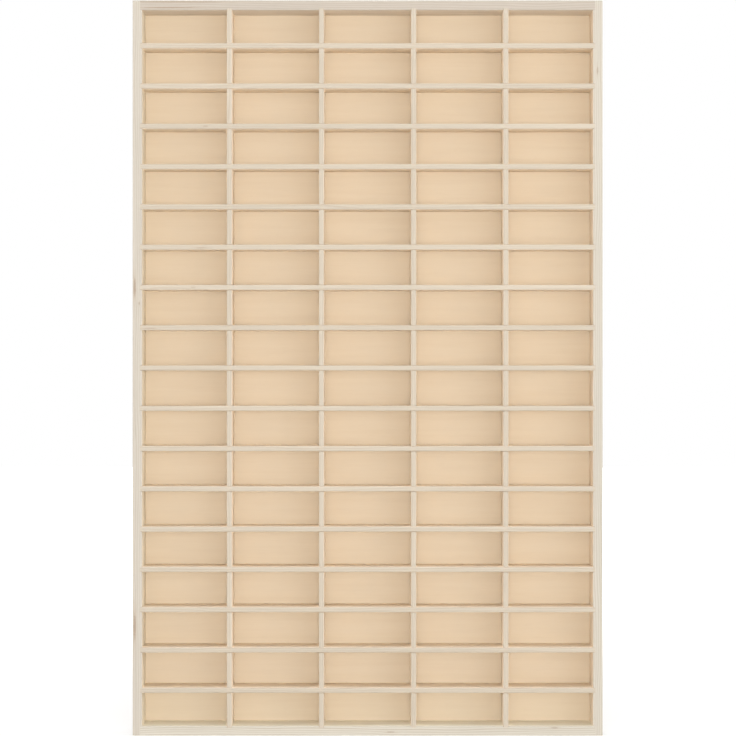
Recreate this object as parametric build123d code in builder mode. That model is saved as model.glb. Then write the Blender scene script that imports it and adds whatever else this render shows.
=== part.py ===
from build123d import *

import os

# Collector display case: an open-fronted wooden case, five columns by eighteen rows of compartments.
# Millimetres, +Z up. The open front faces -Y, +X is to the right of a person facing the front,
# and the origin is the middle of the underside. Shelves and rows are counted from the top,
# dividers and columns from the left.

# Overall size
case_width = 470.0
case_height = 735.0
case_depth = 50.0

# Thicknesses
board = 9.5          # the four frame boards
slat = 5.0           # shelves and dividers
sheet = 3.0          # plywood back
edge_round = 0.4     # sanded long edges

# Layout of the lattice
shelf_count = 17
shelf_pitch = 40.3
divider_count = 4
divider_pitch = 92.2

# Joinery
shelf_housing = 2.0      # how far shelf ends and rail ends are let into the stiles
divider_housing = 1.5    # how far divider ends are let into the rails
fit_gap = 0.1            # play between a slat and the slot that takes it
rebate_width = 5.0       # step round the back that takes the plywood
back_recess = 5.0        # the plywood lies this far in from the rear edges, so that hangers clear the wall

# Nails
corner_nail_radius = 0.8
corner_nail_length = 30.0
corner_nail_head = 1.4
corner_nail_offset = 12.0    # two to a corner, in front of and behind the middle of the depth
panel_nail_radius = 0.6
panel_nail_length = 16.0
panel_nail_head = 1.3
head_thickness = 0.8
tip_length = 1.6
tip_taper = 18.0             # degrees

# Sawtooth hangers, pressed from sheet steel
hanger_width = 44.0
hanger_height = 9.0
hanger_ear = 8.0             # flat end with the nail hole
hanger_slope = 1.5           # run of the bend from the ear to the raised middle
hanger_lift = 2.2            # the toothed middle stands this far off the plywood
hanger_sheet = 1.0
tooth_pitch = 3.0
tooth_depth = 1.8
tooth_count = 8
hanger_nail_radius = 0.7
hanger_nail_length = 12.0
hanger_nail_head = 1.6
hanger_nail_head_thickness = 0.7

# Planes and places worked out from those
front = -case_depth / 2
rear = case_depth / 2
sheet_rear = rear - back_recess
sheet_front = sheet_rear - sheet
slat_depth = sheet_front - front
lap = (front + sheet_front) / 2
slat_middle = lap
half_width = case_width / 2
inner_side = half_width - board
inner_top = case_height - board
middle_height = case_height / 2
slot = slat + fit_gap
rail_length = 2 * (inner_side + shelf_housing)
divider_length = case_height - 2 * board + 2 * divider_housing
sheet_width = 2 * (inner_side + rebate_width)
sheet_height = case_height - 2 * board + 2 * rebate_width
rebate_depth = sheet + back_recess

shelf_heights = [middle_height + ((shelf_count - 1) / 2 - i) * shelf_pitch for i in range(shelf_count)]
divider_places = [(i - (divider_count - 1) / 2) * divider_pitch for i in range(divider_count)]
row_edges = [inner_top] + shelf_heights + [board]
row_middles = [(above + below) / 2 for above, below in zip(row_edges, row_edges[1:])]
column_edges = [-inner_side] + divider_places + [inner_side]
column_middles = [(left + right) / 2 for left, right in zip(column_edges, column_edges[1:])]

# Nail places, seen from the back: round the rebate, and into the rear edges of three shelves
nail_line_side = inner_side + rebate_width / 2
nail_line_top = inner_top + rebate_width / 2
nail_line_bottom = board - rebate_width / 2
stile_nail_heights = row_middles[1::3]
nailed_shelves = [4, 8, 12]
corner_nail_levels = [board / 2, case_height - board / 2]
corner_nail_places = [
    (across, level) for level in corner_nail_levels for across in (-corner_nail_offset, corner_nail_offset)
]
rail_nail_places = [(x, z) for z in (nail_line_top, nail_line_bottom) for x in column_middles]
stile_nail_places = [(side * nail_line_side, z) for z in stile_nail_heights for side in (-1, 1)]
shelf_nail_places = [(x, shelf_heights[i]) for i in nailed_shelves for x in column_middles]
panel_nail_places = rail_nail_places + stile_nail_places + shelf_nail_places

# Hanger places: centred on the outer dividers, nailed through the plywood into the top rail
hanger_places = {"left_hanger": divider_places[0], "right_hanger": divider_places[-1]}
hanger_nail_reach = (hanger_width - hanger_ear) / 2
hanger_top = nail_line_top + hanger_nail_head
hanger_bottom = hanger_top - hanger_height
hanger_nail_places = [
    (middle + side * hanger_nail_reach, nail_line_top) for middle in hanger_places.values() for side in (-1, 1)
]

os.makedirs("parts", exist_ok=True)


# Frame: two stiles run the full height, two rails are let in between them

for name, side in (("left_stile", -1), ("right_stile", 1)):
    with BuildPart() as stile:
        with BuildSketch(Plane.XY):
            with Locations((side * (half_width - board / 2), 0)):
                Rectangle(board, case_depth)
        extrude(amount=case_height)
        fillet(stile.edges(), edge_round)

        # Housings for the shelves, open at the front
        with BuildSketch(Plane.XZ.offset(-front)):
            with Locations(*[(side * (inner_side + shelf_housing / 2), z) for z in shelf_heights]):
                Rectangle(shelf_housing, slot)
        extrude(amount=-slat_depth, mode=Mode.SUBTRACT)

        # Notches at both ends for the rails
        with BuildSketch(Plane.XZ.offset(-front)):
            with Locations(*[(side * (inner_side + shelf_housing / 2), z) for z in corner_nail_levels]):
                Rectangle(shelf_housing, board)
        extrude(amount=-case_depth, mode=Mode.SUBTRACT)

        # Rebate for the plywood back, stopped short of the ends
        with BuildSketch(Plane.XZ.offset(-rear)):
            with Locations((side * nail_line_side, middle_height)):
                Rectangle(rebate_width, sheet_height)
        extrude(amount=rebate_depth, mode=Mode.SUBTRACT)

        # Nail holes: through the outside into the rails, and into the floor of the rebate
        with BuildSketch(Plane.YZ.offset(side * half_width)):
            with Locations(*corner_nail_places):
                Circle(corner_nail_radius)
        extrude(amount=-side * board, mode=Mode.SUBTRACT)
        with BuildSketch(Plane.YZ.offset(side * half_width)):
            with Locations(*corner_nail_places):
                Circle(corner_nail_head)
        extrude(amount=-side * head_thickness, mode=Mode.SUBTRACT)
        with BuildSketch(Plane.XZ.offset(-sheet_front)):
            with Locations(*[(side * nail_line_side, z) for z in stile_nail_heights]):
                Circle(panel_nail_radius)
        extrude(amount=panel_nail_length - sheet, mode=Mode.SUBTRACT)
    stile.part.label = name
    export_step(stile.part, f"parts/{name}.step")

for name, level, inner_edge, nail_line in (
    ("top_rail", case_height - board, inner_top, nail_line_top),
    ("bottom_rail", 0.0, board, nail_line_bottom),
):
    with BuildPart() as rail:
        with BuildSketch(Plane.XY.offset(level)):
            Rectangle(rail_length, case_depth)
        extrude(amount=board)
        fillet(rail.edges().filter_by(Axis.X), edge_round)

        # Housings for the dividers, open at the front
        inward = 1 if name == "top_rail" else -1
        with BuildSketch(Plane.XZ.offset(-front)):
            with Locations(*[(x, inner_edge + inward * divider_housing / 2) for x in divider_places]):
                Rectangle(slot, divider_housing)
        extrude(amount=-slat_depth, mode=Mode.SUBTRACT)

        # Rebate for the plywood back, along the whole rail
        with BuildSketch(Plane.XZ.offset(-rear)):
            with Locations((0, nail_line)):
                Rectangle(rail_length, rebate_width)
        extrude(amount=rebate_depth, mode=Mode.SUBTRACT)

        # Nail holes: in both ends, and in the floor of the rebate
        for end in (-1, 1):
            with BuildSketch(Plane.YZ.offset(end * half_width)):
                with Locations(*[(across, level + board / 2) for across in (-corner_nail_offset, corner_nail_offset)]):
                    Circle(corner_nail_radius)
            extrude(amount=-end * corner_nail_length, mode=Mode.SUBTRACT)
        with BuildSketch(Plane.XZ.offset(-sheet_front)):
            with Locations(*[(x, nail_line) for x in column_middles]):
                Circle(panel_nail_radius)
        extrude(amount=panel_nail_length - sheet, mode=Mode.SUBTRACT)
        if name == "top_rail":
            with BuildSketch(Plane.XZ.offset(-sheet_front)):
                with Locations(*hanger_nail_places):
                    Circle(hanger_nail_radius)
            extrude(amount=hanger_nail_length - hanger_sheet - sheet, mode=Mode.SUBTRACT)
    rail.part.label = name
    export_step(rail.part, f"parts/{name}.step")


# Lattice: each shelf has slots from the rear, each divider has slots from the front, and they cross there

for number, height in enumerate(shelf_heights, start=1):
    with BuildPart() as shelf:
        with BuildSketch(Plane.XY.offset(height - slat / 2)):
            with Locations((0, slat_middle)):
                Rectangle(rail_length, slat_depth)
        extrude(amount=slat)
        fillet(shelf.edges().filter_by(Axis.X).group_by(Axis.Y)[0], edge_round)
        with BuildSketch(Plane.XY.offset(height - slat / 2)):
            with Locations(*[(x, (lap + sheet_front) / 2) for x in divider_places]):
                Rectangle(slot, sheet_front - lap)
        extrude(amount=slat, mode=Mode.SUBTRACT)
        if number - 1 in nailed_shelves:
            with BuildSketch(Plane.XZ.offset(-sheet_front)):
                with Locations(*[(x, height) for x in column_middles]):
                    Circle(panel_nail_radius)
            extrude(amount=panel_nail_length - sheet, mode=Mode.SUBTRACT)
    shelf.part.label = f"shelf_{number:02d}"
    export_step(shelf.part, f"parts/shelf_{number:02d}.step")

for number, place in enumerate(divider_places, start=1):
    with BuildPart() as divider:
        with BuildSketch(Plane.XY.offset(board - divider_housing)):
            with Locations((place, slat_middle)):
                Rectangle(slat, slat_depth)
        extrude(amount=divider_length)
        fillet(divider.edges().filter_by(Axis.Z).group_by(Axis.Y)[0], edge_round)
        with BuildSketch(Plane.XZ.offset(-front)):
            with Locations(*[(place, z) for z in shelf_heights]):
                Rectangle(slat, slot)
        extrude(amount=-(lap - front), mode=Mode.SUBTRACT)
    divider.part.label = f"divider_{number}"
    export_step(divider.part, f"parts/divider_{number}.step")


# Plywood back, with its nail holes

with BuildPart() as back_panel:
    with BuildSketch(Plane.XZ.offset(-sheet_rear)):
        with Locations((0, middle_height)):
            Rectangle(sheet_width, sheet_height)
    extrude(amount=sheet)
    with BuildSketch(Plane.XZ.offset(-sheet_rear)):
        with Locations(*panel_nail_places):
            Circle(panel_nail_radius)
    extrude(amount=sheet, mode=Mode.SUBTRACT)
    with BuildSketch(Plane.XZ.offset(-sheet_rear)):
        with Locations(*panel_nail_places):
            Circle(panel_nail_head)
    extrude(amount=head_thickness, mode=Mode.SUBTRACT)
    with BuildSketch(Plane.XZ.offset(-sheet_rear)):
        with Locations(*hanger_nail_places):
            Circle(hanger_nail_radius)
    extrude(amount=sheet, mode=Mode.SUBTRACT)
back_panel.part.label = "back_panel"
export_step(back_panel.part, "parts/back_panel.step")


# Nails: a head flush with the wood, a round shank and a tapered tip

with BuildPart() as corner_nails:
    for side in (-1, 1):
        with BuildSketch(Plane.YZ.offset(side * half_width)):
            with Locations(*corner_nail_places):
                Circle(corner_nail_head)
        extrude(amount=-side * head_thickness)
        with BuildSketch(Plane.YZ.offset(side * half_width)):
            with Locations(*corner_nail_places):
                Circle(corner_nail_radius)
        extrude(amount=-side * (corner_nail_length - tip_length))
        with BuildSketch(Plane.YZ.offset(side * (half_width - corner_nail_length + tip_length))):
            with Locations(*corner_nail_places):
                Circle(corner_nail_radius)
        extrude(amount=-side * tip_length, taper=tip_taper)
corner_nails.part.label = "corner_nails"
export_step(corner_nails.part, "parts/corner_nails.step")

with BuildPart() as panel_nails:
    with BuildSketch(Plane.XZ.offset(-sheet_rear)):
        with Locations(*panel_nail_places):
            Circle(panel_nail_head)
    extrude(amount=head_thickness)
    with BuildSketch(Plane.XZ.offset(-sheet_rear)):
        with Locations(*panel_nail_places):
            Circle(panel_nail_radius)
    extrude(amount=panel_nail_length - tip_length)
    with BuildSketch(Plane.XZ.offset(-sheet_rear + panel_nail_length - tip_length)):
        with Locations(*panel_nail_places):
            Circle(panel_nail_radius)
    extrude(amount=tip_length, taper=tip_taper)
panel_nails.part.label = "panel_nails"
export_step(panel_nails.part, "parts/panel_nails.step")


# Hangers: flat ears on the plywood, a raised middle with teeth along its lower edge

for name, middle in hanger_places.items():
    ear_end = hanger_width / 2 - hanger_ear
    rise_end = ear_end - hanger_slope
    ear_outer = sheet_rear + hanger_sheet
    lift_inner = sheet_rear + hanger_lift
    lift_outer = lift_inner + hanger_sheet
    with BuildPart() as hanger:
        with BuildSketch(Plane.XY.offset(hanger_bottom)):
            with BuildLine():
                Polyline(
                    (middle - hanger_width / 2, sheet_rear),
                    (middle - ear_end, sheet_rear),
                    (middle - rise_end, lift_inner),
                    (middle + rise_end, lift_inner),
                    (middle + ear_end, sheet_rear),
                    (middle + hanger_width / 2, sheet_rear),
                    (middle + hanger_width / 2, ear_outer),
                    (middle + ear_end, ear_outer),
                    (middle + rise_end, lift_outer),
                    (middle - rise_end, lift_outer),
                    (middle - ear_end, ear_outer),
                    (middle - hanger_width / 2, ear_outer),
                    close=True,
                )
            make_face()
        extrude(amount=hanger_height)
        fillet(hanger.edges().filter_by(Axis.Y).group_by(Axis.X)[0], hanger_ear / 4)
        fillet(hanger.edges().filter_by(Axis.Y).group_by(Axis.X)[-1], hanger_ear / 4)
        for i in range(tooth_count):
            tooth = middle + (i - (tooth_count - 1) / 2) * tooth_pitch
            with BuildSketch(Plane.XZ.offset(-rear)):
                with BuildLine():
                    Polyline(
                        (tooth - tooth_pitch / 2, hanger_bottom),
                        (tooth, hanger_bottom + tooth_depth),
                        (tooth + tooth_pitch / 2, hanger_bottom),
                        close=True,
                    )
                make_face()
            extrude(amount=back_recess, mode=Mode.SUBTRACT)
        with BuildSketch(Plane.XZ.offset(-ear_outer)):
            with Locations(*[(middle + end * hanger_nail_reach, nail_line_top) for end in (-1, 1)]):
                Circle(hanger_nail_radius)
        extrude(amount=hanger_sheet, mode=Mode.SUBTRACT)
    hanger.part.label = name
    export_step(hanger.part, f"parts/{name}.step")

with BuildPart() as hanger_nails:
    nail_face = sheet_rear + hanger_sheet
    with BuildSketch(Plane.XZ.offset(-nail_face - hanger_nail_head_thickness)):
        with Locations(*hanger_nail_places):
            Circle(hanger_nail_head)
    extrude(amount=hanger_nail_head_thickness)
    fillet(hanger_nails.faces().sort_by(Axis.Y)[-len(hanger_nail_places):].edges(), 0.4)
    with BuildSketch(Plane.XZ.offset(-nail_face)):
        with Locations(*hanger_nail_places):
            Circle(hanger_nail_radius)
    extrude(amount=hanger_nail_length - tip_length)
    with BuildSketch(Plane.XZ.offset(-nail_face + hanger_nail_length - tip_length)):
        with Locations(*hanger_nail_places):
            Circle(hanger_nail_radius)
    extrude(amount=tip_length, taper=tip_taper)
hanger_nails.part.label = "hanger_nails"
export_step(hanger_nails.part, "parts/hanger_nails.step")
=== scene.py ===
import math

import bmesh
import bpy
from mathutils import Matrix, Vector


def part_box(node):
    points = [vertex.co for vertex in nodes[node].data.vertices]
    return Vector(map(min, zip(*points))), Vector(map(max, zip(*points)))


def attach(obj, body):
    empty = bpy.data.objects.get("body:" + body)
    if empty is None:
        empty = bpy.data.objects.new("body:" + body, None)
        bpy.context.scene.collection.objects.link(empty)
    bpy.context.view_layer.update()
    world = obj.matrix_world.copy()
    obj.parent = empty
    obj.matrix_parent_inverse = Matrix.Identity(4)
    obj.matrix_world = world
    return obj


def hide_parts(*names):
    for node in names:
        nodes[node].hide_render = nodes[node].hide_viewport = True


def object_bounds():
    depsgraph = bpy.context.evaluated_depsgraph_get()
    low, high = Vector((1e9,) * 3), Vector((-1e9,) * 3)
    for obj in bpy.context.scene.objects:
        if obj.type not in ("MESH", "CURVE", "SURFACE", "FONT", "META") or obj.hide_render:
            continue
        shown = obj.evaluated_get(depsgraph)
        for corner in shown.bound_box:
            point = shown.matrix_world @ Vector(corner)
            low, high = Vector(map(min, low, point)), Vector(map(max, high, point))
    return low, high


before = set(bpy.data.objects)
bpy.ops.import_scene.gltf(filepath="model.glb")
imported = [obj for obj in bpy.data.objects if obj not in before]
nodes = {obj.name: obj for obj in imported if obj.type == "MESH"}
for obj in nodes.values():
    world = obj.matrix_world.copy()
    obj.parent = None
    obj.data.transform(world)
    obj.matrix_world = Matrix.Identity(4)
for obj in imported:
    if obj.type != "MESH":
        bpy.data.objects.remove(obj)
cadLow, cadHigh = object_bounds()
print("frame loaded", len(nodes), "nodes")

mm = 0.001
white = (1.0, 1.0, 1.0, 1.0)
caseMiddle = (cadLow + cadHigh) / 2
# solids come with split corners, and points nearer than this are one corner
cornerReach = 0.001 * mm


# Small helpers for node trees

def setInputs(tree, node, inputs):
    for key, value in inputs.items():
        if isinstance(value, bpy.types.NodeSocket):
            tree.links.new(value, node.inputs[key])
        else:
            node.inputs[key].default_value = value


def addNode(tree, kind, inputs=None, **settings):
    node = tree.nodes.new(kind)
    for key, value in settings.items():
        setattr(node, key, value)
    setInputs(tree, node, inputs or {})
    return node


def addStep(tree, kind, inputs=None, **settings):
    # a node of which only the first output is wanted
    return addNode(tree, kind, inputs, **settings).outputs[0]


def calc(tree, operation, *values):
    return addStep(tree, "ShaderNodeMath", dict(enumerate(values)), operation=operation)


def calcVector(tree, operation, *values):
    return addStep(tree, "ShaderNodeVectorMath", dict(enumerate(values)), operation=operation)


def times(tree, first, second):
    return calc(tree, "MULTIPLY", first, second)


def centred(tree, value):
    # a noise runs from 0 to 1, and this brings its middle to 0
    return calc(tree, "SUBTRACT", value, 0.5)


def inMillimetres(tree, place):
    return calcVector(tree, "MULTIPLY", place, (1 / mm,) * 3)


def lengthOf(tree, vector):
    return addNode(tree, "ShaderNodeVectorMath", {0: vector}, operation="LENGTH").outputs["Value"]


def joinAxes(tree, x=0.0, y=0.0, z=0.0):
    return addStep(tree, "ShaderNodeCombineXYZ", {0: x, 1: y, 2: z})


def splitAxes(tree, vector):
    return addNode(tree, "ShaderNodeSeparateXYZ", {0: vector}).outputs


def noise(tree, place, stretch, detail=2.0, roughness=0.5, shift=None):
    place = calcVector(tree, "MULTIPLY", place, stretch)
    if shift is not None:
        place = calcVector(tree, "ADD", place, shift)
    inputs = {"Vector": place, "Scale": 1.0, "Detail": detail, "Roughness": roughness}
    return addNode(tree, "ShaderNodeTexNoise", inputs).outputs["Fac"]


def smoothStep(tree, value, low, high, outLow=0.0, outHigh=1.0):
    inputs = {"Value": value, "From Min": low, "From Max": high, "To Min": outLow, "To Max": outHigh}
    return addNode(tree, "ShaderNodeMapRange", inputs, interpolation_type="SMOOTHSTEP").outputs["Result"]


def blendColor(tree, amount, first, second, mode="MIX"):
    # sockets 0, 6 and 7 of a colour mix are its factor and its two colours
    inputs = {0: amount, 6: first, 7: second}
    return addNode(tree, "ShaderNodeMix", inputs, data_type="RGBA", blend_type=mode).outputs[2]


def tinted(tree, color, tint):
    return blendColor(tree, 1.0, color, tint, mode="MULTIPLY")


def grey(tree, level):
    return addStep(tree, "ShaderNodeCombineColor", {0: level, 1: level, 2: level})


def newGroup(name, inputs, outputs, kind="ShaderNodeTree"):
    tree = bpy.data.node_groups.new(name, kind)
    for socketName, socketKind, value in inputs:
        socket = tree.interface.new_socket(socketName, in_out="INPUT", socket_type=socketKind)
        if value is not None:
            socket.default_value = value
    for socketName, socketKind in outputs:
        tree.interface.new_socket(socketName, in_out="OUTPUT", socket_type=socketKind)
    return tree, addNode(tree, "NodeGroupInput").outputs, addNode(tree, "NodeGroupOutput").inputs


def placeGroup(tree, group, inputs):
    return addNode(tree, "ShaderNodeGroup", inputs, node_tree=group).outputs


def linear(red, green, blue):
    # a colour as the eye reads it, from 0 to 255, turned into the values that the shaders use
    def channel(value):
        value /= 255
        return value / 12.92 if value <= 0.04045 else ((value + 0.055) / 1.055) ** 2.4
    return (channel(red), channel(green), channel(blue), 1.0)


# Pine grain: yearly rings round a heart that lies beside the board, in millimetres with X along the grain

grainFigure = {
    "slowWander": (0.006, 0.035, 0.035),
    "slowGain": 4.0,
    "fineWander": (0.03, 0.2, 0.2),
    "fineGain": 1.1,
    "lateStart": 0.35,
    "lateFull": 0.9,
    "lateEnd": 0.99,
    "leastYear": 0.25,
    "fibreStretch": (0.05, 2.2, 2.2),
    "fibreShade": 0.32,
    "fibreHeight": 0.6,
    "broadStretch": (0.004, 0.05, 0.05),
    "broadShade": 0.22,
    "fleckStretch": (0.12, 1.7, 1.7),
    "fleckStart": 0.68,
    "fleckFull": 0.78,
    "fleckShade": 0.22,
    "fleckDepth": 0.5,
    "lateHeight": 0.5,
    "endShade": 0.25,
    "smoothest": 0.56,
    "fibreRoughness": 0.12,
}


def makePineGrain():
    tree, given, result = newGroup(
        "pineGrain",
        [
            ("Place", "NodeSocketVector", None),
            ("Pale Color", "NodeSocketColor", (0.8, 0.7, 0.55, 1.0)),
            ("Late Color", "NodeSocketColor", (0.6, 0.45, 0.28, 1.0)),
            ("Heart Across", "NodeSocketFloat", 0.0),
            ("Heart Below", "NodeSocketFloat", 50.0),
            ("Ring Pitch", "NodeSocketFloat", 2.6),
            ("Ring Strength", "NodeSocketFloat", 0.35),
            ("Wander", "NodeSocketFloat", 3.0),
            ("Fibre", "NodeSocketFloat", 0.5),
            ("Bend", "NodeSocketFloat", 0.0),
            ("End Grain", "NodeSocketFloat", 0.0),
            ("End Color", "NodeSocketColor", (0.8, 0.72, 0.62, 1.0)),
        ],
        [("Color", "NodeSocketColor"), ("Height", "NodeSocketFloat"), ("Roughness", "NodeSocketFloat")],
    )
    figure = grainFigure
    place = given["Place"]
    split = splitAxes(tree, place)
    # slow wander of the rings along the board, then a finer one
    slow = noise(tree, place, figure["slowWander"])
    fine = noise(tree, place, figure["fineWander"])
    across = calc(tree, "SUBTRACT", split["Y"], given["Heart Across"])
    below = calc(tree, "ADD", split["Z"], given["Heart Below"])
    radius = calc(tree, "SQRT", calc(tree, "ADD", times(tree, across, across), times(tree, below, below)))
    slowReach = times(tree, given["Wander"], figure["slowGain"])
    radius = calc(tree, "MULTIPLY_ADD", centred(tree, slow), slowReach, radius)
    radius = calc(tree, "MULTIPLY_ADD", centred(tree, fine), figure["fineGain"], radius)
    radius = calc(tree, "ADD", radius, given["Bend"])
    # each year darkens slowly, ends sharply and has its own strength
    years = calc(tree, "DIVIDE", radius, given["Ring Pitch"])
    season = calc(tree, "FRACT", years)
    darkening = smoothStep(tree, season, figure["lateStart"], figure["lateFull"])
    late = times(tree, darkening, smoothStep(tree, season, figure["lateEnd"], figure["lateFull"]))
    chance = {"W": calc(tree, "FLOOR", years)}
    year = addNode(tree, "ShaderNodeTexWhiteNoise", chance, noise_dimensions="1D").outputs["Value"]
    year = calc(tree, "MULTIPLY_ADD", year, 1.0 - figure["leastYear"], figure["leastYear"])
    late = times(tree, late, year)
    # fibres, broad tone and short dark flecks
    fibre = noise(tree, place, figure["fibreStretch"], detail=4.0, roughness=0.65)
    broad = noise(tree, place, figure["broadStretch"], detail=3.0)
    fleck = noise(tree, place, figure["fleckStretch"], detail=1.0)
    fleck = smoothStep(tree, fleck, figure["fleckStart"], figure["fleckFull"])
    lateShare = times(tree, late, given["Ring Strength"])
    color = blendColor(tree, lateShare, given["Pale Color"], given["Late Color"])
    fleckShare = times(tree, fleck, times(tree, given["Fibre"], figure["fleckShade"]))
    color = blendColor(tree, fleckShare, color, given["Late Color"])
    fibreShare = times(tree, given["Fibre"], figure["fibreShade"])
    shade = calc(tree, "MULTIPLY_ADD", centred(tree, fibre), fibreShare, 1.0)
    shade = calc(tree, "MULTIPLY_ADD", centred(tree, broad), figure["broadShade"], shade)
    color = tinted(tree, color, grey(tree, shade))
    # sawn ends drink in more dirt and show darker rings
    endShade = calc(tree, "MULTIPLY_ADD", late, -figure["endShade"], 1.0)
    endColor = tinted(tree, given["End Color"], grey(tree, endShade))
    color = blendColor(tree, given["End Grain"], color, tinted(tree, color, endColor))
    tree.links.new(color, result["Color"])
    height = calc(tree, "MULTIPLY_ADD", fibre, figure["fibreHeight"], times(tree, late, figure["lateHeight"]))
    height = calc(tree, "SUBTRACT", height, times(tree, fleck, figure["fleckDepth"]))
    tree.links.new(height, result["Height"])
    roughness = calc(tree, "MULTIPLY_ADD", fibre, figure["fibreRoughness"], figure["smoothest"])
    tree.links.new(roughness, result["Roughness"])
    return tree


# Knot or resin streak: a ragged dark core with a browner halo

knotShape = {
    "ragged": (0.6, 0.6, 0.6),
    "raggedGain": 0.7,
    "coreEdge": (1.0, 0.45),
    "haloEdge": (2.2, 0.6),
}


def makeKnotMark():
    tree, given, result = newGroup(
        "knotMark",
        [
            ("Place", "NodeSocketVector", None),
            ("Middle", "NodeSocketVector", (0.0, 0.0, 0.0)),
            ("Reach", "NodeSocketVector", (4.0, 4.0, 4.0)),
            ("Strength", "NodeSocketFloat", 1.0),
        ],
        [("Core", "NodeSocketFloat"), ("Halo", "NodeSocketFloat")],
    )
    offset = calcVector(tree, "SUBTRACT", given["Place"], given["Middle"])
    distance = lengthOf(tree, calcVector(tree, "DIVIDE", offset, given["Reach"]))
    ragged = noise(tree, given["Place"], knotShape["ragged"], detail=3.0)
    distance = calc(tree, "MULTIPLY_ADD", centred(tree, ragged), knotShape["raggedGain"], distance)
    for part, edge in (("Core", knotShape["coreEdge"]), ("Halo", knotShape["haloEdge"])):
        mark = smoothStep(tree, distance, *edge)
        tree.links.new(times(tree, mark, given["Strength"]), result[part])
    return tree


# Inside of the case: 1 on the walls of the compartments, 0 on the front edges and on the outside. Painted
# light is laid on the pine and on the plywood's front where it is 1.

insideFade = {"behindFront": 0.15, "overEdge": 0.1}


def makeInsideCase():
    tree, given, result = newGroup(
        "insideCase",
        [
            ("Place", "NodeSocketVector", None),
            ("Half Width", "NodeSocketFloat", 225.0),
            ("Half Height", "NodeSocketFloat", 358.0),
            ("Middle Height", "NodeSocketFloat", 367.5),
            ("Front", "NodeSocketFloat", -25.0),
            ("Back", "NodeSocketFloat", 20.0),
            ("Blend", "NodeSocketFloat", 0.5),
        ],
        [("Mask", "NodeSocketFloat")],
    )
    split = splitAxes(tree, given["Place"])
    overSide = calc(tree, "SUBTRACT", calc(tree, "ABSOLUTE", split["X"]), given["Half Width"])
    fromMiddle = calc(tree, "ABSOLUTE", calc(tree, "SUBTRACT", split["Z"], given["Middle Height"]))
    overEnd = calc(tree, "SUBTRACT", fromMiddle, given["Half Height"])
    pastBack = calc(tree, "SUBTRACT", split["Y"], given["Back"])
    behindFront = calc(tree, "SUBTRACT", split["Y"], given["Front"])
    behindFront = calc(tree, "SUBTRACT", behindFront, insideFade["behindFront"])
    mask = smoothStep(tree, behindFront, 0.0, given["Blend"])
    for over in (overSide, overEnd, pastBack):
        mask = times(tree, mask, smoothStep(tree, over, given["Blend"], insideFade["overEdge"]))
    tree.links.new(mask, result["Mask"])
    return tree


pineGrain = makePineGrain()
knotMark = makeKnotMark()
insideCase = makeInsideCase()
print("shader groups ready")


# Materials

def newMaterial(name):
    material = bpy.data.materials.new(name)
    material.use_nodes = True
    tree = material.node_tree
    return material, tree, tree.nodes["Principled BSDF"]


def addBump(tree, shader, height, strength, distance):
    bump = addStep(tree, "ShaderNodeBump", {"Height": height, "Strength": strength, "Distance": distance})
    tree.links.new(bump, shader.inputs["Normal"])


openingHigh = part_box("top_rail")[0].z
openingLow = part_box("bottom_rail")[1].z
caseInside = {
    "Half Width": -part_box("left_stile")[1].x / mm,
    "Half Height": (openingHigh - openingLow) / 2 / mm,
    "Middle Height": (openingHigh + openingLow) / 2 / mm,
    "Front": cadLow.y / mm,
    "Back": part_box("back_panel")[1].y / mm,
}
woodSheen = 0.3

frameLook = {
    "pale": linear(205, 198, 185),
    "late": linear(168, 151, 127),
    "ringStrength": 0.5,
    "ringPitch": 2.2,
    "wander": 2.5,
    "fibre": 0.6,
    "bump": 0.3,
    "bumpDepth": 0.1 * mm,
    "endColor": (0.86, 0.78, 0.68, 1.0),
    "endFacing": (0.6, 0.95),
}

slatLook = {
    "pale": linear(203, 191, 173),
    "late": linear(169, 146, 119),
    # painted light: this gain makes the slats' inner faces lighter than their front edges, standing in for
    # the light that reaches into the compartments
    "paintedLightGain": (1.5, 1.5, 1.54),
    "ringStrength": 0.4,
    "ringPitch": 2.0,
    "wander": 2.5,
    "fibre": 0.55,
    "bump": 0.3,
    "bumpDepth": 0.1 * mm,
}

knotLook = {
    "core": linear(142, 112, 88),
    "halo": linear(186, 166, 142),
    "haloShare": 0.6,
    "haloBend": 1.6,
}


def markKnots(tree, place, knots):
    core, halo = 0.0, 0.0
    for middle, reach, strength in knots:
        inputs = {"Place": place, "Middle": middle, "Reach": reach, "Strength": strength}
        mark = placeGroup(tree, knotMark, inputs)
        core = calc(tree, "MAXIMUM", core, mark["Core"])
        halo = calc(tree, "MAXIMUM", halo, mark["Halo"])
    return core, halo


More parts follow.
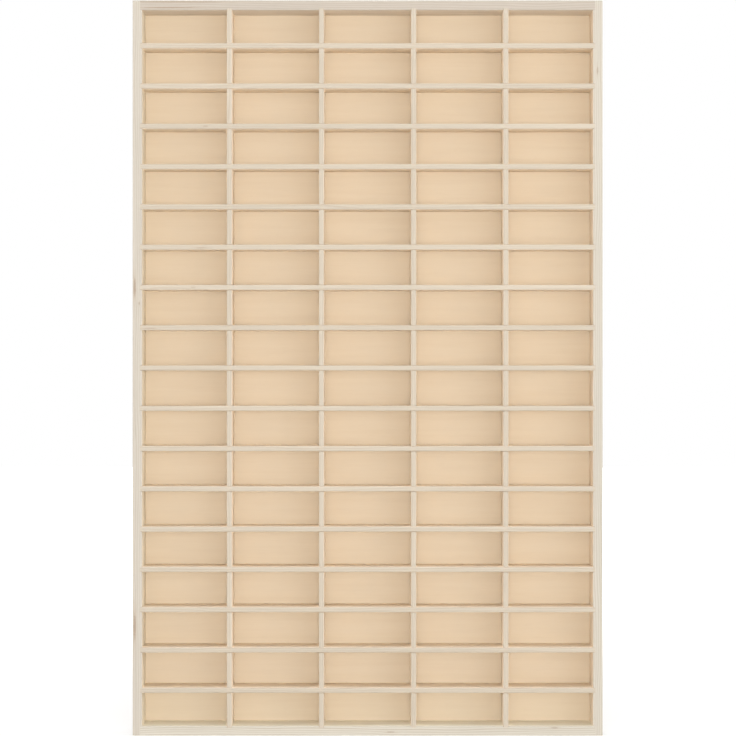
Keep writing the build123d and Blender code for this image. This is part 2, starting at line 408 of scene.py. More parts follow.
def pineMaterial(name, look, grainPlace, heart, knots, endAxis=None):
    material, tree, shader = newMaterial(name)
    coordinates = addNode(tree, "ShaderNodeTexCoord").outputs
    place = inMillimetres(tree, coordinates["Object"])
    core, halo = markKnots(tree, place, knots)
    settings = {
        "Place": grainPlace(tree, place),
        "Pale Color": look["pale"],
        "Late Color": look["late"],
        "Heart Across": heart[0],
        "Heart Below": heart[1],
        "Ring Pitch": look["ringPitch"],
        "Ring Strength": look["ringStrength"],
        "Wander": look["wander"],
        "Fibre": look["fibre"],
        "Bend": times(tree, halo, knotLook["haloBend"]),
    }
    if endAxis:
        facing = calc(tree, "ABSOLUTE", splitAxes(tree, coordinates["Normal"])[endAxis])
        settings["End Grain"] = smoothStep(tree, facing, *look["endFacing"])
        settings["End Color"] = look["endColor"]
    grain = placeGroup(tree, pineGrain, settings)
    color = blendColor(tree, times(tree, halo, knotLook["haloShare"]), grain["Color"], knotLook["halo"])
    color = blendColor(tree, core, color, knotLook["core"])
    # painted light: the inner faces are made lighter than the front, and the stiles' warmer too, standing in
    # for the light and the plywood's warm bounce inside the compartments
    inside = placeGroup(tree, insideCase, {"Place": place, **caseInside})["Mask"]
    insideLightPaint = blendColor(tree, inside, white, look["paintedLightGain"] + (1.0,))
    tree.links.new(tinted(tree, color, insideLightPaint), shader.inputs["Base Color"])
    tree.links.new(grain["Roughness"], shader.inputs["Roughness"])
    shader.inputs["Specular IOR Level"].default_value = woodSheen
    addBump(tree, shader, grain["Height"], look["bump"], look["bumpDepth"])
    return material


# Plywood: its front shows between the slats, and its rear is darker with a stronger figure; the front is
# lighter than the rear by painted light that stands in for the light in the compartments

plyLook = {
    "face": linear(237, 221, 196),
    "streak": linear(223, 202, 173),
    "streakStretch": (0.008, 0.06, 0.14),
    "streakEdge": (0.35, 0.75),
    "poreStretch": (0.09, 0.9, 1.4),
    "poreEdge": (0.6, 0.8),
    "poreShade": 0.2,
    "poreRange": (0.2, 0.8),
    "poreRoughness": (0.5, 0.62),
    "fibreStretch": (0.03, 1.2, 3.2),
    "fibreEdge": (0.4, 0.7),
    "fibreShade": 0.4,
    "figureInside": 0.22,
    "figureBehind": 0.9,
    "backTone": (0.745, 0.7, 0.645, 1.0),
    "backMargin": 0.5,
    "bump": 0.2,
    "bumpDepth": 0.05 * mm,
}


def plywoodMaterial():
    material, tree, shader = newMaterial("plywoodBack")
    place = inMillimetres(tree, addNode(tree, "ShaderNodeTexCoord").outputs["Object"])
    streak = noise(tree, place, plyLook["streakStretch"], detail=4.0, roughness=0.6)
    pore = noise(tree, place, plyLook["poreStretch"], detail=3.0)
    fibre = noise(tree, place, plyLook["fibreStretch"], detail=4.0, roughness=0.7)
    frontOnly = {**caseInside, "Back": caseInside["Back"] - plyLook["backMargin"]}
    inside = placeGroup(tree, insideCase, {"Place": place, **frontOnly})["Mask"]
    calmer = plyLook["figureInside"] - plyLook["figureBehind"]
    figure = calc(tree, "MULTIPLY_ADD", inside, calmer, plyLook["figureBehind"])
    streak = times(tree, smoothStep(tree, streak, *plyLook["streakEdge"]), figure)
    color = blendColor(tree, streak, plyLook["face"], plyLook["streak"])
    dark = smoothStep(tree, pore, *plyLook["poreEdge"], 0.0, plyLook["poreShade"])
    color = blendColor(tree, dark, color, plyLook["streak"])
    fibreShare = times(tree, figure, plyLook["fibreShade"])
    fibre = times(tree, smoothStep(tree, fibre, *plyLook["fibreEdge"]), fibreShare)
    color = blendColor(tree, fibre, color, plyLook["streak"])
    # painted light: the front between the slats keeps the lighter colour and the rear gets the plain darker
    # tone
    tone = blendColor(tree, inside, plyLook["backTone"], white)
    tree.links.new(tinted(tree, color, tone), shader.inputs["Base Color"])
    roughness = smoothStep(tree, pore, *plyLook["poreRange"], *plyLook["poreRoughness"])
    tree.links.new(roughness, shader.inputs["Roughness"])
    shader.inputs["Specular IOR Level"].default_value = woodSheen
    addBump(tree, shader, pore, plyLook["bump"], plyLook["bumpDepth"])
    return material


# Steel of the nails and hangers: cloudy, with fine scratches

steelLook = {
    "blotchStretch": (0.42, 0.42, 0.42),
    "blotchEdge": (0.35, 0.7),
    "cloudEdge": (0.3, 0.7),
    "cloudRoughness": (-0.06, 0.1),
    "scratchStretch": (0.5, 6.0, 9.0),
    "scratchEdge": (0.5, 0.7),
    "scratchRoughness": 0.1,
    "bump": 0.25,
    "bumpDepth": 0.02 * mm,
}


def makeSteelBlotch():
    tree, given, result = newGroup(
        "steelBlotch",
        [
            ("Place", "NodeSocketVector", None),
            ("Color", "NodeSocketColor", (0.5, 0.5, 0.5, 1.0)),
            ("Dark Color", "NodeSocketColor", (0.35, 0.35, 0.35, 1.0)),
            ("Roughness", "NodeSocketFloat", 0.35),
        ],
        [("Color", "NodeSocketColor"), ("Roughness", "NodeSocketFloat"), ("Height", "NodeSocketFloat")],
    )
    blotch = noise(tree, given["Place"], steelLook["blotchStretch"], detail=4.0)
    scratch = noise(tree, given["Place"], steelLook["scratchStretch"])
    dark = smoothStep(tree, blotch, *steelLook["blotchEdge"])
    tree.links.new(blendColor(tree, dark, given["Color"], given["Dark Color"]), result["Color"])
    cloudy = smoothStep(tree, blotch, *steelLook["cloudEdge"], *steelLook["cloudRoughness"])
    scratched = smoothStep(tree, scratch, *steelLook["scratchEdge"], 0.0, steelLook["scratchRoughness"])
    roughness = calc(tree, "ADD", calc(tree, "ADD", given["Roughness"], cloudy), scratched)
    tree.links.new(roughness, result["Roughness"])
    tree.links.new(scratch, result["Height"])
    return tree


steelBlotch = makeSteelBlotch()


def steelMaterial(name, color, darkColor, roughness):
    material, tree, shader = newMaterial(name)
    place = inMillimetres(tree, addNode(tree, "ShaderNodeTexCoord").outputs["Object"])
    values = {"Place": place, "Color": color, "Dark Color": darkColor, "Roughness": roughness}
    finish = placeGroup(tree, steelBlotch, values)
    tree.links.new(finish["Color"], shader.inputs["Base Color"])
    tree.links.new(finish["Roughness"], shader.inputs["Roughness"])
    shader.inputs["Metallic"].default_value = 1.0
    addBump(tree, shader, finish["Height"], steelLook["bump"], steelLook["bumpDepth"])
    return material


def dress(node, material):
    mesh = nodes[node].data
    mesh.materials.clear()
    mesh.materials.append(material)


# Frame boards: each has its own stretch of timber, and knots where they lie on its front
# A knot has its middle and its reach, both in millimetres, and its strength

front = cadLow.y / mm

# each board's inside gain is painted light: its inner faces are made lighter, and on the stiles warmer,
# standing in for the light and the plywood's bounce in the compartments
frameBoards = {
    "left_stile": {
        "upright": True,
        "tone": (0.98, 0.96, 0.955),
        "paintedLightGain": (1.22, 1.2, 1.11),
        "shift": (130.0, 4.0, 9.0),
        "heart": (30.0, 70.0),
        "knots": [
            ((-232.9, front, 448.0), (1.4, 6.0, 13.0), 0.47),
            ((-232.9, front, 445.5), (1.5, 6.0, 2.4), 0.5),
            ((-228.4, front, 432.0), (1.1, 4.0, 2.2), 0.3),
            ((-232.9, front, 109.0), (1.4, 6.0, 17.0), 0.5),
        ],
    },
    "right_stile": {
        "upright": True,
        "tone": (1.01, 1.0, 0.99),
        "paintedLightGain": (1.29, 1.2, 1.1),
        "shift": (910.0, 14.0, -5.0),
        "heart": (-35.0, 45.0),
        "knots": [
            ((229.9, front, 665.0), (1.2, 5.0, 5.0), 0.35),
        ],
    },
    "top_rail": {
        "upright": False,
        "tone": (0.89, 0.85, 0.84),
        "paintedLightGain": (1.37, 1.36, 1.34),
        "shift": (300.0, 0.0, -730.0),
        "heart": (10.0, 60.0),
        "knots": [
            ((-198.0, front, 728.0), (34.0, 8.0, 0.7), 0.45),
            ((-190.0, front, 733.6), (60.0, 6.0, 0.8), 0.4),
        ],
    },
    "bottom_rail": {
        "upright": False,
        "tone": (1.06, 1.06, 1.05),
        "paintedLightGain": (1.34, 1.38, 1.36),
        "ringStrength": 0.75,
        "shift": (1700.0, 6.0, -5.0),
        "heart": (-20.0, 55.0),
        "knots": [
            ((23.0, front, 3.6), (5.0, 5.0, 0.7), 0.4),
            ((187.0, front, 7.6), (4.5, 5.0, 0.7), 0.45),
        ],
    },
}


def boardPlace(upright, shift):
    turned = (0.0, math.pi / 2, 0.0) if upright else (0.0, 0.0, 0.0)

    def grainPlace(tree, place):
        return addStep(tree, "ShaderNodeMapping", {"Vector": place, "Location": shift, "Rotation": turned})
    return grainPlace


def toned(color, tone):
    return tuple(channel * gain for channel, gain in zip(color, tone)) + (1.0,)


for name, spec in frameBoards.items():
    # a board's tone is partly its own timber and partly painted: the top rail is painted darker and the
    # bottom rail lighter, evening out how the lamps light the top and the foot of the case
    look = {
        **frameLook,
        "pale": toned(frameLook["pale"], spec["tone"]),
        "late": toned(frameLook["late"], spec["tone"]),
        "paintedLightGain": spec["paintedLightGain"],
        "ringStrength": spec.get("ringStrength", frameLook["ringStrength"]),
    }
    grainPlace = boardPlace(spec["upright"], spec["shift"])
    endAxis = "Z" if spec["upright"] else "X"
    dress(name, pineMaterial(name + "Pine", look, grainPlace, spec["heart"], spec["knots"], endAxis))
dress("back_panel", plywoodMaterial())
print("frame boards and back dressed")


# Shaping with Geometry Nodes: the result is kept as a plain mesh

def addObject(name, data):
    thing = bpy.data.objects.new(name, data)
    bpy.context.scene.collection.objects.link(thing)
    return thing


def shapeByNodes(name, tree, values, mesh=None):
    thing = addObject(name, mesh or bpy.data.meshes.new(name + "Base"))
    shaper = thing.modifiers.new("shaper", "NODES")
    shaper.node_group = tree
    for item in tree.interface.items_tree:
        if item.item_type == "SOCKET" and item.in_out == "INPUT" and item.name in values:
            shaper[item.identifier] = values[item.name]
    depsgraph = bpy.context.evaluated_depsgraph_get()
    shaped = thing.evaluated_get(depsgraph)
    finished = bpy.data.meshes.new_from_object(shaped, preserve_all_data_layers=True, depsgraph=depsgraph)
    thing.modifiers.remove(shaper)
    thing.data = finished
    finished.name = name
    return thing


# Lattice slats: a rounded bar swept along its length, a little wavy, with a row of slots for the half-laps

slatSizes = {
    "edgeRound": 0.6 * mm,
    "edgeSteps": 4,
    "ringSpacing": 6.0 * mm,
    "slotGap": 0.4 * mm,
    "slotPlay": 0.15 * mm,
    "slotDrop": 0.1 * mm,
    "waver": 0.12 * mm,
    "bowStretch": (7.0, 0.0, 0.0),
    "dipStretch": (45.0, 0.0, 260.0),
    "seedStep": (17.3, 5.9),
}


def makeSlatTree():
    tree, given, result = newGroup(
        "latticeSlat",
        [
            ("Length", "NodeSocketFloat", 0.46),
            ("Depth", "NodeSocketFloat", 0.042),
            ("Thickness", "NodeSocketFloat", 0.005),
            ("Edge Round", "NodeSocketFloat", 0.0005),
            ("Ring Spacing", "NodeSocketFloat", 0.006),
            ("Slot Count", "NodeSocketInt", 4),
            ("Slot Pitch", "NodeSocketFloat", 0.0922),
            ("Slot Width", "NodeSocketFloat", 0.0051),
            ("Slot Play", "NodeSocketFloat", 0.0001),
            ("Slot Shift", "NodeSocketFloat", 0.0),
            ("Slot Depth", "NodeSocketFloat", 0.021),
            ("Slot Side", "NodeSocketFloat", 1.0),
            ("Waver", "NodeSocketFloat", 0.0001),
            ("Seed", "NodeSocketInt", 0),
            ("Grain Shift", "NodeSocketVector", None),
            ("Middle", "NodeSocketVector", None),
            ("Turn", "NodeSocketRotation", None),
            ("Material", "NodeSocketMaterial", None),
        ],
        [("Slat", "NodeSocketGeometry")],
        kind="GeometryNodeTree",
    )
    half = times(tree, given["Length"], 0.5)
    ends = {"Start": joinAxes(tree, times(tree, half, -1.0)), "End": joinAxes(tree, half)}
    line = addStep(tree, "GeometryNodeCurvePrimitiveLine", ends)
    rings = {"Curve": line, "Length": given["Ring Spacing"]}
    line = addStep(tree, "GeometryNodeResampleCurve", rings, mode="LENGTH")
    sides = {"Width": given["Depth"], "Height": given["Thickness"]}
    profile = addStep(tree, "GeometryNodeCurvePrimitiveQuadrilateral", sides)
    place = addStep(tree, "GeometryNodeInputPosition")
    split = splitAxes(tree, place)
    # the profile's right-hand corners become the front edges, and the rear ones stay square
    radius = times(tree, calc(tree, "GREATER_THAN", split["X"], 0.0), given["Edge Round"])
    rounding = {"Curve": profile, "Count": slatSizes["edgeSteps"], "Radius": radius}
    profile = addStep(tree, "GeometryNodeFilletCurve", rounding, mode="POLY")
    sweep = {"Curve": line, "Profile Curve": profile, "Fill Caps": True}
    bar = addStep(tree, "GeometryNodeCurveToMesh", sweep)
    # a slow bow through the thickness, and small dips of the front edge, always inwards
    seedPlace = joinAxes(tree, *(times(tree, given["Seed"], step) for step in slatSizes["seedStep"]))
    bow = centred(tree, noise(tree, place, slatSizes["bowStretch"], detail=1.0, shift=seedPlace))
    bow = times(tree, bow, times(tree, given["Waver"], 2.0))
    dip = times(tree, noise(tree, place, slatSizes["dipStretch"], shift=seedPlace), given["Waver"])
    dip = times(tree, dip, calc(tree, "LESS_THAN", split["Y"], 0.0))
    waver = {"Geometry": bar, "Offset": joinAxes(tree, 0.0, dip, bow)}
    bar = addStep(tree, "GeometryNodeSetPosition", waver)
    # the row of slots, each cut by a block that straddles the edge
    edge = times(tree, times(tree, given["Depth"], 0.5), given["Slot Side"])
    gaps = calc(tree, "SUBTRACT", given["Slot Count"], 1.0)
    first = calc(tree, "MULTIPLY_ADD", times(tree, gaps, -0.5), given["Slot Pitch"], given["Slot Shift"])
    row = {
        "Count": given["Slot Count"],
        "Start Location": joinAxes(tree, first, edge),
        "Offset": joinAxes(tree, given["Slot Pitch"]),
    }
    points = addStep(tree, "GeometryNodeMeshLine", row, mode="OFFSET")
    blockDepth = times(tree, given["Slot Depth"], 2.0)
    blockHeight = times(tree, given["Thickness"], 3.0)
    size = joinAxes(tree, given["Slot Width"], blockDepth, blockHeight)
    block = addStep(tree, "GeometryNodeMeshCube", {"Size": size})
    # sockets 2 and 3 of a random value are its least and its most, and output 1 is the number
    chance = {2: 0.0, 3: calc(tree, "DIVIDE", given["Slot Play"], given["Slot Width"]), "Seed": given["Seed"]}
    wider = addNode(tree, "FunctionNodeRandomValue", chance, data_type="FLOAT").outputs[1]
    scale = joinAxes(tree, calc(tree, "ADD", wider, 1.0), 1.0, 1.0)
    spread = {"Points": points, "Instance": block, "Scale": scale}
    blocks = addStep(tree, "GeometryNodeInstanceOnPoints", spread)
    blocks = addStep(tree, "GeometryNodeRealizeInstances", {0: blocks})
    cut = {"Mesh 1": bar, "Mesh 2": blocks}
    slat = addNode(tree, "GeometryNodeMeshBoolean", cut, operation="DIFFERENCE").outputs["Mesh"]
    # the grain follows the slat, so its place along the timber is kept with each point, in millimetres
    timber = calcVector(tree, "ADD", inMillimetres(tree, place), given["Grain Shift"])
    keep = {"Geometry": slat, "Name": "grainPlace", "Value": timber}
    slat = addStep(tree, "GeometryNodeStoreNamedAttribute", keep, data_type="FLOAT_VECTOR", domain="POINT")
    setting = {"Geometry": slat, "Translation": given["Middle"], "Rotation": given["Turn"]}
    slat = addStep(tree, "GeometryNodeTransform", setting)
    slat = addStep(tree, "GeometryNodeRealizeInstances", {0: slat})
    slat = addStep(tree, "GeometryNodeSetMaterial", {"Geometry": slat, "Material": given["Material"]})
    tree.links.new(slat, result["Slat"])
    return tree


def timberPlace(tree, place):
    return addNode(tree, "ShaderNodeAttribute", attribute_name="grainPlace").outputs["Vector"]


slatHeart = (0.0, 45.0)
slatTimber = {"alongStep": 631.0, "acrossStep": 37, "width": 60, "belowStep": 23, "depth": 40}
slatKnots = [
    ((-162.0, front, 609.3), (3.0, 5.0, 0.8), 0.35),
    ((-166.6, front, 487.6), (7.0, 5.0, 0.6), 0.35),
    ((-174.5, front, 448.3), (3.0, 5.0, 0.5), 0.35),
    ((-218.0, front, 407.2), (9.0, 5.0, 0.6), 0.35),
]
firstDividerSeed = 31

slatPine = pineMaterial("slatPine", slatLook, timberPlace, slatHeart, slatKnots)
slatTree = makeSlatTree()
shelfNames = sorted(name for name in nodes if name.startswith("shelf_"))
dividerNames = sorted(name for name in nodes if name.startswith("divider_"))


def middleOf(name):
    low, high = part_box(name)
    return (low + high) / 2


def timberShift(seed):
    # each slat is sawn from its own stretch of the timber, and not always at the same side of the heart
    across = seed * slatTimber["acrossStep"] % slatTimber["width"] - slatTimber["width"] / 2
    below = seed * slatTimber["belowStep"] % slatTimber["depth"] - slatTimber["depth"] / 2
    return (seed * slatTimber["alongStep"], across, below)


def makeSlat(name, seed, crossing, upright):
    low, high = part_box(name)
    size = high - low
    crossLow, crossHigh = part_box(crossing[0])
    crossThickness = min(crossHigh.x - crossLow.x, crossHigh.z - crossLow.z)
    values = {
        "Length": size.z if upright else size.x,
        "Depth": size.y,
        "Thickness": size.x if upright else size.z,
        "Edge Round": slatSizes["edgeRound"],
        "Ring Spacing": slatSizes["ringSpacing"],
        "Slot Count": len(crossing),
        "Slot Pitch": (middleOf(crossing[1]) - middleOf(crossing[0])).length,
        "Slot Width": crossThickness + slatSizes["slotGap"],
        "Slot Play": slatSizes["slotPlay"],
        "Slot Shift": -slatSizes["slotDrop"] if upright else 0.0,
        "Slot Depth": size.y / 2,
        "Slot Side": -1.0 if upright else 1.0,
        "Waver": slatSizes["waver"],
        "Seed": seed,
        "Grain Shift": timberShift(seed),
        "Middle": tuple(middleOf(name)),
        "Turn": (0.0, -math.pi / 2, 0.0) if upright else (0.0, 0.0, 0.0),
        "Material": slatPine,
    }
    slat = shapeByNodes(name + "Pine", slatTree, values)
    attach(slat, "root")
    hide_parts(name)


for seed, name in enumerate(shelfNames, start=1):
    makeSlat(name, seed, dividerNames, upright=False)
for seed, name in enumerate(dividerNames, start=firstDividerSeed):
    makeSlat(name, seed, shelfNames, upright=True)
print("slats shaped", len(shelfNames) + len(dividerNames))


# Nails: a dished head, a round shank and a point, one at each nail of the frame, none quite straight

nailSizes = {
    "corner_nails": {"outward": "X", "shankRadius": 0.8 * mm, "headThickness": 0.8 * mm, "seed": 3},
    "panel_nails": {"outward": "Y", "shankRadius": 0.6 * mm, "headThickness": 0.8 * mm, "seed": 5},
    "hanger_nails": {"outward": "Y", "shankRadius": 0.7 * mm, "headThickness": 0.7 * mm, "seed": 8},
}
nailTip = 1.6 * mm
nailLean = math.radians(1.2)
nailSink = (0.06 * mm, 0.14 * mm)
nailSides = 14
nailSharp = math.radians(40.0)
# the point from its end upwards: shares of the tip's length and of the shank's radius
nailPoint = [(0.0, 0.12), (0.4, 0.6)]
# where the shank ends, just under the head, in head thicknesses
shankEnd = -1.05
# the head from its underside to its dished middle: shares of the head's thickness and of its radius
nailHead = [(-1.0, 0.92), (-0.7, 1.0), (-0.2, 1.0), (0.0, 0.84), (-0.08, 0.55), (-0.1, 0.05)]


def byIndex(tree, values):
    # one value for each point along the nail, from its tip to the middle of its head
    node = addNode(tree, "GeometryNodeIndexSwitch", data_type="FLOAT")
    for extra in range(len(values) - 2):
        node.index_switch_items.new()
    setInputs(tree, node, {0: addStep(tree, "GeometryNodeInputIndex"), **dict(enumerate(values, start=1))})
    return node.outputs[0]


def makeNailTree():
    tree, given, result = newGroup(
        "wireNail",
        [
            ("Places", "NodeSocketGeometry", None),
            ("Length", "NodeSocketFloat", 0.016),
            ("Shank Radius", "NodeSocketFloat", 0.0006),
            ("Head Radius", "NodeSocketFloat", 0.0013),
            ("Head Thickness", "NodeSocketFloat", 0.0008),
            ("Tip Length", "NodeSocketFloat", 0.0016),
            ("Lean", "NodeSocketFloat", 0.02),
            ("Least Sink", "NodeSocketFloat", 0.00006),
            ("Most Sink", "NodeSocketFloat", 0.00014),
            ("Seed", "NodeSocketInt", 0),
            ("Material", "NodeSocketMaterial", None),
        ],
        [("Nails", "NodeSocketGeometry")],
        kind="GeometryNodeTree",
    )
    shank, head, thick = given["Shank Radius"], given["Head Radius"], given["Head Thickness"]
    tipEnd = times(tree, given["Length"], -1.0)
    heights, radii = [], []
    for height, width in nailPoint:
        heights.append(calc(tree, "MULTIPLY_ADD", given["Tip Length"], height, tipEnd))
        radii.append(times(tree, shank, width))
    heights += [calc(tree, "ADD", given["Tip Length"], tipEnd), times(tree, thick, shankEnd)]
    radii += [shank, shank]
    for height, width in nailHead:
        heights.append(times(tree, thick, height))
        radii.append(times(tree, head, width))
    line = addStep(tree, "GeometryNodeMeshLine", {"Count": len(heights)}, mode="OFFSET")
    line = addStep(tree, "GeometryNodeMeshToCurve", {0: line})
    axis = {"Geometry": line, "Position": joinAxes(tree, z=byIndex(tree, heights))}
    line = addStep(tree, "GeometryNodeSetPosition", axis)
    ring = addStep(tree, "GeometryNodeCurvePrimitiveCircle", {"Resolution": nailSides, "Radius": 1.0})
    turned = {"Curve": line, "Profile Curve": ring, "Scale": byIndex(tree, radii), "Fill Caps": True}
    nail = addStep(tree, "GeometryNodeCurveToMesh", turned)
    # each nail points along its place's own direction, leans a little and is driven a little past flush
    outward = addStep(tree, "GeometryNodeInputNamedAttribute", {"Name": "outward"}, data_type="FLOAT_VECTOR")
    upright = addStep(tree, "FunctionNodeAlignRotationToVector", {"Vector": outward}, axis="Z")
    lean = given["Lean"]
    opposite = times(tree, lean, -1.0)
    least = joinAxes(tree, opposite, opposite)
    tilt = {0: least, 1: joinAxes(tree, lean, lean, math.tau), "Seed": given["Seed"]}
    tilt = addStep(tree, "FunctionNodeRandomValue", tilt, data_type="FLOAT_VECTOR")
    tilt = addStep(tree, "FunctionNodeEulerToRotation", {0: tilt})
    turn = addStep(tree, "FunctionNodeRotateRotation", {0: upright, 1: tilt}, rotation_space="LOCAL")
    sink = {2: given["Least Sink"], 3: given["Most Sink"], "Seed": given["Seed"]}
    sink = addNode(tree, "FunctionNodeRandomValue", sink, data_type="FLOAT").outputs[1]
    sunk = times(tree, sink, -1.0)
    inward = calcVector(tree, "MULTIPLY", outward, joinAxes(tree, sunk, sunk, sunk))
    driven = {"Geometry": given["Places"], "Offset": inward}
    places = addStep(tree, "GeometryNodeSetPosition", driven)
    spread = {"Points": places, "Instance": nail, "Rotation": turn}
    nails = addStep(tree, "GeometryNodeInstanceOnPoints", spread)
    nails = addStep(tree, "GeometryNodeRealizeInstances", {0: nails})
    nails = addStep(tree, "GeometryNodeSetMaterial", {"Geometry": nails, "Material": given["Material"]})
    tree.links.new(nails, result["Nails"])
    return tree


def solidBoxes(name):
    # lowest and highest corner of each separate solid in a node of the frame
    solid = bmesh.new()
    solid.from_mesh(nodes[name].data)
    bmesh.ops.remove_doubles(solid, verts=solid.verts, dist=cornerReach)
    boxes, known = [], set()
    for start in solid.verts:
        if start in known:
            continue
        known.add(start)
        island, waiting = [], [start]
        while waiting:
            point = waiting.pop()
            island.append(point.co.copy())
            for edge in point.link_edges:
                other = edge.other_vert(point)
                if other not in known:
                    known.add(other)
                    waiting.append(other)
        low = Vector(min(place[axis] for place in island) for axis in range(3))
        high = Vector(max(place[axis] for place in island) for axis in range(3))
        boxes.append((low, high))
    solid.free()
    return boxes


def makeNails(name, spec):
    sideways = spec["outward"] == "X"
    heads, directions = [], []
    for low, high in solidBoxes(name):
        middle = (low + high) / 2
        if sideways:
            side = math.copysign(1.0, middle.x)
            heads.append((high.x if side > 0 else low.x, middle.y, middle.z))
            directions.append((side, 0.0, 0.0))
        else:
            heads.append((middle.x, high.y, middle.z))
            directions.append((0.0, 1.0, 0.0))
    # the nails of a node are alike, so the last one gives the size
    size = high - low
    mesh = bpy.data.meshes.new(name + "Places")
    mesh.from_pydata(heads, [], [])
    outward = mesh.attributes.new("outward", "FLOAT_VECTOR", "POINT")
    for count, direction in enumerate(directions):
        outward.data[count].vector = direction
    values = {
        "Length": size.x if sideways else size.y,
        "Shank Radius": spec["shankRadius"],
        "Head Radius": size.z / 2,
        "Head Thickness": spec["headThickness"],
        "Tip Length": nailTip,
        "Lean": nailLean,
        "Least Sink": nailSink[0],
        "Most Sink": nailSink[1],
        "Seed": spec["seed"],
        "Material": nailSteel,
    }
    nails = shapeByNodes(name + "Wire", nailTree, values, mesh)
    nails.data.shade_smooth()
    nails.data.set_sharp_from_angle(angle=nailSharp)
    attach(nails, "root")
    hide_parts(name)
    return len(heads)


nailLook = {"color": linear(150, 149, 147), "darkColor": linear(116, 114, 111), "roughness": 0.36}
nailSteel = steelMaterial("nailSteel", **nailLook)
nailTree = makeNailTree()
nailCount = sum(makeNails(name, spec) for name, spec in nailSizes.items())
print("nails driven", nailCount)


# Hangers: the pressed plates of the frame with their sheared edges eased

hangerSizes = {"edgeEase": 0.18 * mm, "flatWithin": math.radians(2.0), "sharpOver": math.radians(25.0)}
hangerLook = {"color": linear(160, 159, 157), "darkColor": linear(141, 140, 137), "roughness": 0.34}
hangerZinc = steelMaterial("hangerZinc", **hangerLook)


def makeHanger(name):
    plate = bmesh.new()
    plate.from_mesh(nodes[name].data)
    bmesh.ops.remove_doubles(plate, verts=plate.verts, dist=cornerReach)
    flat = hangerSizes["flatWithin"]
    bmesh.ops.dissolve_limit(plate, angle_limit=flat, verts=plate.verts, edges=plate.edges)
    mesh = bpy.data.meshes.new(name + "Plate")
    plate.to_mesh(mesh)
    plate.free()
    mesh.materials.append(hangerZinc)
    hanger = addObject(name + "Plate", mesh)
    ease = hanger.modifiers.new("easedEdge", "BEVEL")
    ease.width = hangerSizes["edgeEase"]
    ease.segments = 2
    ease.limit_method = "ANGLE"
    ease.angle_limit = hangerSizes["sharpOver"]
    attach(hanger, "root")
    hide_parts(name)


for name in ("left_hanger", "right_hanger"):
    makeHanger(name)
print("hangers pressed")


# Stage: pale floor, soft lamps and the camera

stageLook = {
    "floorSize": 14.0,
    "floorColor": (0.6, 0.6, 0.6, 1.0),
    "nearGlow": (0.38, 0.4),
    "farGlow": (1.0, 1.6),
    "worldStrength": 0.77,
    "lampAway": 4.5,
    "cameraAway": 2.61,
    "cameraRight": 0.0004,
    "frameWidth": 0.7359,
    "sensorWidth": 36.0,
    "sightEnd": 50.0,
}

# each lamp's direction from the middle of the case, in degrees to the right and upwards,
# then its watts and its size
stageLamps = {
    "frontLamp": (0.0, 0.0, 36.0, (0.8, 0.6)),
    "rightLamp": (38.0, 0.0, 25.0, (3.2, 0.8)),
    "rightSideLamp": (72.0, 0.0, 45.0, (0.8, 0.6)),
    "leftSideLamp": (-72.0, 0.0, 38.0, (0.8, 0.6)),
    "topLamp": (0.0, 65.0, 31.0, (0.8, 0.6)),
    "backLamp": (180.0, 20.0, 50.0, (1.0, 1.0)),
    "backRightLamp": (125.0, 15.0, 15.0, (1.0, 1.0)),
    "backLeftLamp": (-125.0, 15.0, 15.0, (1.0, 1.0)),
}

# weak fills that cast no shadow, so that the deep ends of the compartments are lit too
stageFills = {
    "rightFill": (72.0, 0.0, 20.5, (0.8, 0.6)),
    "leftFill": (-72.0, 0.0, 13.0, (0.8, 0.6)),
    "topFill": (0.0, 65.0, 10.0, (0.8, 0.6)),
    "lowFill": (0.0, -65.0, 13.0, (0.8, 0.6)),
}


def seenWhite(tree):
    # 1 for what the camera sees, directly or in metal and glass, and 0 for light on the object
    paths = addNode(tree, "ShaderNodeLightPath").outputs
    mirrored = calc(tree, "MAXIMUM", paths["Is Glossy Ray"], paths["Is Transmission Ray"])
    return calc(tree, "MAXIMUM", paths["Is Camera Ray"], mirrored)


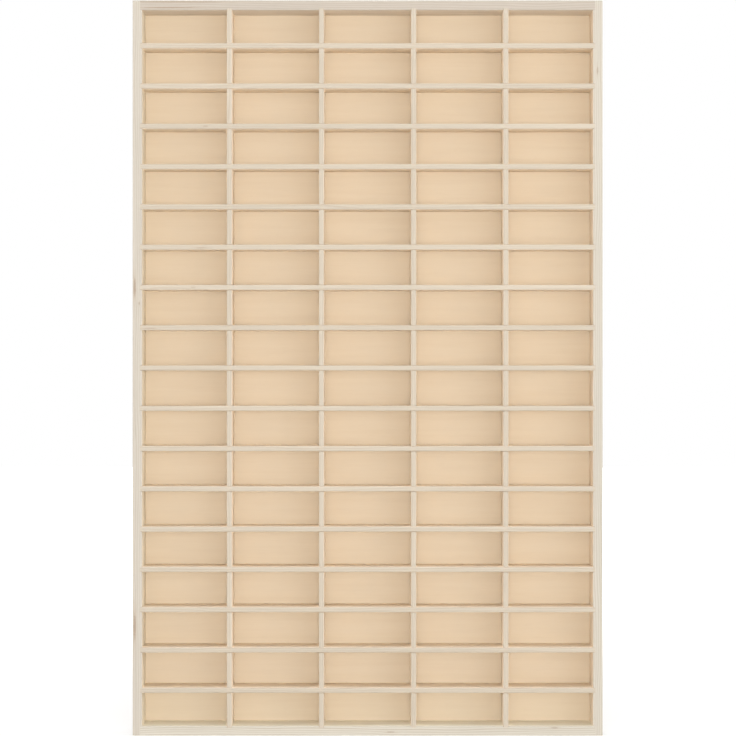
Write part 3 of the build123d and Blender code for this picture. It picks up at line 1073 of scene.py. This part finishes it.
def makeFloor():
    half = stageLook["floorSize"] / 2
    corners = [(-half, -half, 0.0), (half, -half, 0.0), (half, half, 0.0), (-half, half, 0.0)]
    mesh = bpy.data.meshes.new("floor")
    mesh.from_pydata(corners, [], [(0, 1, 2, 3)])
    floor = addObject("floor", mesh)
    material, tree, shader = newMaterial("paleFloor")
    tree.nodes.remove(shader)
    matt = addStep(tree, "ShaderNodeBsdfDiffuse", {"Color": stageLook["floorColor"]})
    # the floor's glow grows from the case outwards, so that the case's shadow stays
    distance = lengthOf(tree, addNode(tree, "ShaderNodeTexCoord").outputs["Object"])
    (nearLevel, nearEnd), (farLevel, farStart) = stageLook["nearGlow"], stageLook["farGlow"]
    level = smoothStep(tree, distance, nearEnd, farStart, nearLevel, farLevel)
    glow = addStep(tree, "ShaderNodeEmission", {"Strength": times(tree, seenWhite(tree), level)})
    both = addStep(tree, "ShaderNodeAddShader", {0: matt, 1: glow})
    tree.links.new(both, tree.nodes["Material Output"].inputs["Surface"])
    mesh.materials.append(material)


def makeWorld():
    world = bpy.data.worlds.new("studio")
    bpy.context.scene.world = world
    world.use_nodes = True
    tree = world.node_tree
    background = tree.nodes["Background"]
    level = stageLook["worldStrength"]
    strength = calc(tree, "MULTIPLY_ADD", seenWhite(tree), 1.0 - level, level)
    background.inputs["Color"].default_value = white
    tree.links.new(strength, background.inputs["Strength"])


def addLamp(name, right, up, power, size, shadow=True):
    turn, rise = math.radians(right), math.radians(up)
    away = Vector((math.sin(turn) * math.cos(rise), -math.cos(turn) * math.cos(rise), math.sin(rise)))
    lamp = bpy.data.lights.new(name, "AREA")
    lamp.shape = "RECTANGLE"
    lamp.size, lamp.size_y = size
    lamp.energy = power
    lamp.use_shadow = shadow
    thing = addObject(name, lamp)
    thing.location = caseMiddle + away * stageLook["lampAway"]
    thing.visible_camera = False
    thing.rotation_mode = "QUATERNION"
    thing.rotation_quaternion = (-away).to_track_quat("-Z", "Y")


def makeCamera():
    lens = bpy.data.cameras.new("camera")
    lens.sensor_width = stageLook["sensorWidth"]
    lens.lens = stageLook["sensorWidth"] * stageLook["cameraAway"] / stageLook["frameWidth"]
    lens.clip_end = stageLook["sightEnd"]
    camera = addObject("camera", lens)
    camera.location = (stageLook["cameraRight"], cadLow.y - stageLook["cameraAway"], caseMiddle.z)
    camera.rotation_euler = (math.pi / 2, 0.0, 0.0)
    bpy.context.scene.camera = camera


makeFloor()
makeWorld()
for name, (right, up, power, size) in stageLamps.items():
    addLamp(name, right, up, power, size)
for name, (right, up, power, size) in stageFills.items():
    addLamp(name, right, up, power, size, shadow=False)
makeCamera()
bpy.context.scene.view_settings.view_transform = "Standard"
print("stage ready")
